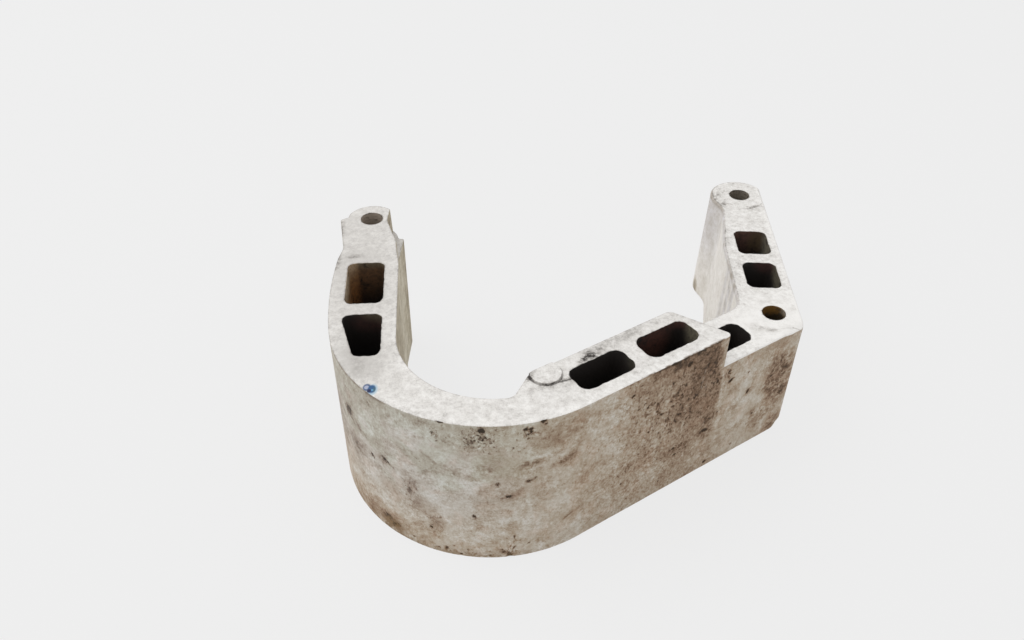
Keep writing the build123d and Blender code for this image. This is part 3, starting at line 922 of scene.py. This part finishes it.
def inner_finish():
    """The inner walls' cast skin: tan on the left arm, pale on the right, with painted shade bands
    down it.
    """
    skin = finish_for("cast_inner_wall")
    at = skin.place()
    x, y, height = skin.axis(at, "X"), skin.axis(at, "Y"), skin.axis(at, "Z")
    drawn = skin.place((1, 1, 0.1))
    left, right = skin.rise(x, -115, -160), skin.rise(x, -30, -25)
    grain = skin.cloud(8, 5, 0.9, shift=21) - 0.5
    soil_and_shade = 0.12 + left * 0.3 + grain * (1.0 + left * 0.2) + skin.mottle(6, 5, 3) * 0.06
    soil_and_shade = soil_and_shade + skin.mottle(3.2, 11, 2, drawn) * (0.04 + left * 0.11)

    # The right arm's painted shade bands, rim, boss and foot, and the left arm's ends
    # Painted shade: dark upright bands at given places along the arm
    wandering = y + skin.mottle(9, 36, 2, drawn) * 1.5
    shade_bands = sum(skin.near(wandering, middle, reach) * share for middle, reach, share in SHADE_BANDS)
    shade_bands = shade_bands * skin.rise(skin.cloud(7, 3, shift=44), 0.2, 0.55)
    rim = skin.rise(height, 57.5, 59.5) * 0.2
    boss = skin.rise(y, 70, 95) * skin.rise(height, 10, 50) * 0.2
    spot = skin.oval(at, (-16.3, 97.5, 1.5), (3, 3, 6), 0.5) * 0.4
    foot = spot + skin.rise(height, 34, 4) * 0.07
    ends = skin.rise(y, 0, -24) + skin.rise(y, 30, 42)
    soil_and_shade = soil_and_shade + right * (shade_bands + rim + boss + foot) + left * ends * 0.18

    colour = skin.ramp(soil_and_shade, CLEAN_METAL)
    # A bluish tint over the painted shade bands and over the soiled rim and boss
    shaded_and_soiled = right * (shade_bands + rim + boss) * 4
    for tint, mask in ((SHADE_AND_SOIL_TINT, shaded_and_soiled), (RIGHT_TINT, right), (LEFT_TINT, left)):
        colour = skin.mix(colour, tint, mask, "MULTIPLY")
    lumps = skin.bump(skin.cloud(4, 4, 0.6, shift=3), 0.2)
    normal = skin.bump(skin.cloud(0.9, 4, 0.75), 0.12, lumps)
    return skin.surface(colour, 0.6 + soil_and_shade * 0.15, 0.15, normal)


def face_finish():
    """The machined faces: pale and fine-grained, with smudges, a creased pad and a paint dot."""
    skin = finish_for("machined_face")
    place = skin.field("place", "Vector")
    run, inward = skin.axis(place, "X"), skin.axis(place, "Y")
    flat = skin.place((1, 1, 0))
    x = skin.axis(flat, "X")
    broken = skin.rise(skin.cloud(2.0, 4, 0.7, 0.3, shift=17), 0.38, 0.62)
    tone_shift = skin.field("dullness")
    grain = skin.cloud(4, 4, 0.97, shift=3) - 0.5
    arm = skin.rise(x, -30, -15)
    soil_and_shade = 0.23 + tone_shift + grain * (1.3 + arm * 0.4 - abs(tone_shift) * 5)
    soil_and_shade = soil_and_shade + skin.field("smudge") * (0.4 + broken * 1.1)
    soil_and_shade = soil_and_shade + skin.rise(skin.cloud(1.2, 2, 0.6, shift=29), 0.68, 0.78) * 0.14

    # The rims: darkened along the faces' edges by dirt and painted shade, dark along the inner wall,
    # wiped clean past the bend, and soiled by the step
    arm_rim = skin.rise(x, -8, -12) * skin.rise(inward, 18, 22) * skin.rise(run, 300, 310)
    clean_rim = skin.rise(run, 135, 165) * skin.rise(inward, 5, 1)
    rim_soil_and_shade = (0.06 + broken * 0.16 + arm_rim * 0.16) * (1 - clean_rim)
    soil_and_shade = soil_and_shade + skin.rise(skin.field("edge_gap"), 0.75, 0.05) * rim_soil_and_shade - clean_rim * 0.1
    soiled_rim = skin.within(run, 196, 212, 251, 253) * skin.rise(inward, 0.9, 0.1)
    soiled_rim = soiled_rim * skin.rise(skin.cloud(2.6, 3, shift=88), 0.42, 0.6)

    # The painted shade round the pad's foot, darker on its near side, and the painted shade lines
    off = skin.vector("SUBTRACT", flat, PAD_PLACE)
    pad_ring_shade = skin.near(skin.vector("LENGTH", off, output="Value"), PAD_RADIUS + 0.15, 0.55)
    near_side_shade = skin.rise(skin.axis(off, "Y"), 5, -5)
    soil_and_shade = soil_and_shade + pad_ring_shade * (0.25 + near_side_shade * 0.3) * (0.6 + broken * 0.5)
    soil_and_shade = soil_and_shade + skin.scores(flat, FACE_SHADE_LINES)

    colour = skin.ramp(soil_and_shade, MACHINED_METAL)
    colour = skin.mix(colour, SOILED_RIM, soiled_rim)
    top = skin.rise(skin.axis(skin.place(), "Z"), TOP - 1, TOP - 0.5)
    for middle, reach, tone in PAINT_AND_HIGHLIGHT:
        colour = skin.mix(colour, tone, skin.oval(flat, middle, reach) * top)
    normal = skin.bump(skin.cloud(0.8, 3, 0.7, shift=2), 0.08)
    return skin.surface(colour, 0.5 + soil_and_shade * 0.3, 0.15, normal)


def pocket_finish():
    """The lightening pockets: black with old oil and painted shade, brown and olive in places round
    the mouth, partly painted light.
    """
    skin = finish_for("oily_shaded_pocket")
    at = skin.place()
    blotch = skin.cloud(4, 5, 0.7, 0.4)
    crust = skin.rise(skin.cloud(1.6, 4, 0.7, shift=12), 0.36, 0.6)
    patchy = skin.rise(blotch, 0.3, 0.48) * (0.55 + crust * 0.45)
    # Near black for old oil and painted shade, lighter where painted light falls in near the mouths
    colour = OIL_AND_SHADE_BLACK
    for middle, reach, tone in DRY_AND_LIT_PLACES:
        colour = skin.mix(colour, tone, skin.oval(at, middle, reach, 0.6) * patchy)
    normal = skin.bump(skin.cloud(1.2, 4, 0.7), 0.15)
    return skin.surface(colour, 0.6 + blotch * 0.2, 0.0, normal)


def bore_finish():
    """The bolt bores: ochre at the corner, grey-brown at the arm's end and taupe on the left."""
    skin = finish_for("oiled_bore")
    at = skin.place()
    x, y, depth = skin.axis(at, "X"), skin.axis(at, "Y"), skin.field("depth")
    blotch, rings = skin.cloud(2.4, 4, 0.6), skin.mottle(1.3, 33, 2, skin.place((0.15, 0.15, 1)))
    tone = skin.mix(GREY_BORE, TAUPE_BORE, skin.rise(x, -140, -150))
    ochre = skin.rise(y, 12, 8) * skin.rise(x, -140, -130)
    tone = skin.mix(tone, OCHRE_BORE, ochre)
    shade = skin.rise(depth + x * 0.7 + blotch * 6, 6, 10)
    tone = skin.mix(tone, OCHRE_SHADE, ochre * shade)
    # Painted light on the lamp-facing side of the corner bore's lip
    lit_lip = skin.rise(x, 3.2, 4.8) * skin.rise(depth, 4, 1)
    tone = skin.mix(tone, OCHRE_LIT_LIP, ochre * lit_lip)
    tone = skin.mix(tone, BORE_CRUST, skin.rise(blotch + rings * 0.3, 0.46, 0.72) * 0.7)
    # Painted shade, darker deeper down each bore
    colour = skin.mix(tone, BORE_DEPTH_SHADE, skin.rise(depth + blotch * 6, 9, 26))
    normal = skin.bump(skin.cloud(1.0, 3, 0.6), 0.05)
    return skin.surface(colour, 0.42 + blotch * 0.15, 0.2, normal)


def base_finish():
    """The machined underside, evenly grey with fine scoring."""
    skin = finish_for("machined_base")
    scores = skin.mottle(0.8, 0, 3, skin.place((0.06, 1, 1)))
    smudge = skin.mottle(12, 4, 4)
    colour = skin.ramp(0.25 + scores * 0.08 + smudge * 0.1, SOILED_METAL)
    return skin.surface(colour, 0.42 + smudge * 0.1, 0.6, skin.bump(scores, 0.03))


# ---- the bracket

# One finish for each region, in the order of the regions' numbers
FINISHES = (wall_finish, inner_finish, pocket_finish, bore_finish, base_finish, face_finish)
bracket = mesh_bracket()
for make_finish in FINISHES:
    bracket.data.materials.append(make_finish())
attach(bracket, "root")
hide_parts("bracket_casting")


# ---- floor, light and camera

WHITE = (1, 1, 1, 1)
# How bright the picture sees the floor and backdrop, and how much of that the shadow can take
FLOOR_TONE = 0.855
SHADOW_SHARE = 0.08
# Half the floor's side, and the light from all round and from the lamp
FLOOR_REACH = 5.0
STUDIO_LIGHT = 0.74
LAMP_PLACE, LAMP_AIM = (-1.0, 0.1, 1.35), (-0.09, 0.0, 0.04)
LAMP_WIDTH, LAMP_POWER = 1.3, 9.5
# The camera, solved from the photograph's edges and right angles
CAMERA_PLACE = (-0.1037, -0.31439, 0.30611)
PITCH, HEADING, ROLL = radians(38.95), radians(2.266), radians(0.36)
LENS, SENSOR_WIDTH = 31.377, 36.0


def floor_finish():
    """A pale floor: the picture sees an even tone with a faint shadow, the bracket plain white."""
    paper = finish_for("pale_floor")
    brightness = FLOOR_TONE - SHADOW_SHARE
    glow = paper.node("Emission", {}, {"Color": WHITE, "Strength": brightness})
    shade = paper.node("BsdfDiffuse", {}, {"Color": (*[SHADOW_SHARE] * 3, 1)})
    shown = paper.node("AddShader", {}, {0: glow, 1: shade})
    plain = paper.node("BsdfDiffuse", {}, {"Color": (0.8, 0.8, 0.79, 1)})
    both = paper.node("MixShader", {}, {0: paper.seen(), 1: plain, 2: shown})
    paper.node("OutputMaterial", {}, {"Surface": both})
    return paper.owner


def lay_floor():
    """A flat floor just under the base."""
    sheet = bmesh.new()
    corners = ((-1, -1), (1, -1), (1, 1), (-1, 1))
    sheet.faces.new([sheet.verts.new((x * FLOOR_REACH, y * FLOOR_REACH, 0)) for x, y in corners])
    mesh = bpy.data.meshes.new("floor")
    sheet.to_mesh(mesh)
    sheet.free()
    mesh.materials.append(floor_finish())
    floor = put_in_scene("floor", mesh)


def light_studio():
    """Even white light from all round, and one large soft lamp from above on the left."""
    world = bpy.context.scene.world or bpy.data.worlds.new("studio")
    bpy.context.scene.world = world
    air = Finish(world)
    around = air.node("Background", {}, {"Color": WHITE, "Strength": STUDIO_LIGHT})
    behind = air.node("Background", {}, {"Color": WHITE, "Strength": FLOOR_TONE})
    both = air.node("MixShader", {}, {0: air.seen(), 1: around, 2: behind})
    air.node("OutputWorld", {}, {"Surface": both})
    lamp = bpy.data.lights.new("soft_lamp", "AREA")
    lamp.shape, lamp.size, lamp.energy = "DISK", LAMP_WIDTH, LAMP_POWER
    hung = put_in_scene("soft_lamp", lamp)
    hung.location = LAMP_PLACE
    aim = Vector(LAMP_AIM) - Vector(LAMP_PLACE)
    hung.rotation_euler = aim.to_track_quat("-Z", "Y").to_euler()


def set_camera():
    """The camera at the photograph's place, turned and tilted as it was there."""
    ahead = Vector((-sin(HEADING) * cos(PITCH), cos(HEADING) * cos(PITCH), -sin(PITCH)))
    right = Vector((cos(HEADING), sin(HEADING), 0))
    above = right.cross(ahead)
    side = cos(ROLL) * right + sin(ROLL) * above
    lift = -sin(ROLL) * right + cos(ROLL) * above
    turned = Matrix((side, lift, -ahead)).transposed().to_4x4()
    data = bpy.data.cameras.new("camera")
    data.lens, data.sensor_width = LENS, SENSOR_WIDTH
    data.clip_start = 0.01
    camera = put_in_scene("camera", data)
    camera.matrix_world = Matrix.Translation(CAMERA_PLACE) @ turned
    bpy.context.scene.camera = camera


lay_floor()
light_studio()
set_camera()
bpy.context.scene.view_settings.view_transform = "Standard"
